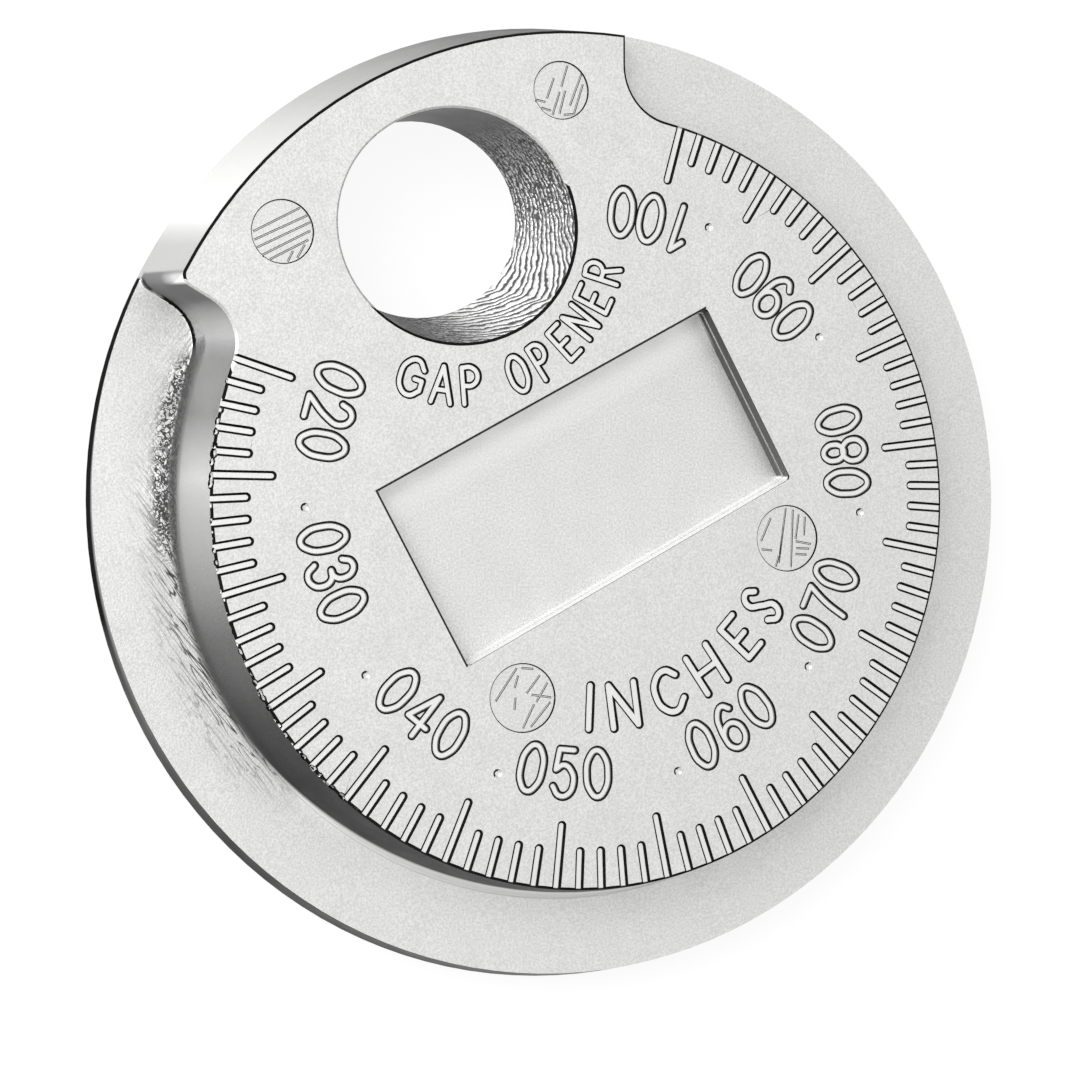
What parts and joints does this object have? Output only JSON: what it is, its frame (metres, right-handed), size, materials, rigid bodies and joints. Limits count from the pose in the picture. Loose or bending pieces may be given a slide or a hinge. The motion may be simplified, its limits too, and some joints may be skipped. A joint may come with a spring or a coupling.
{
  "type": "spark plug gap gauge",
  "caption": "Coin-sized cast gauge for spark plug gaps: graduated hub, rim flange that thickens in a helix, and a full-height sector with a tapered oval hole.",
  "frame": {"origin": "centre of the round back face", "axes": "+Z out of the inch face, +Y from the centre towards the sector, +X to the right as the inch face is seen"},
  "size_m": [0.033, 0.033, 0.0038],
  "materials": {
    "cast_zinc": "satin, fine sandblasted grain of a die casting"
  },
  "bodies": {
    "root": {"gauge_disc": "cast_zinc"}
  },
  "joints": []
}
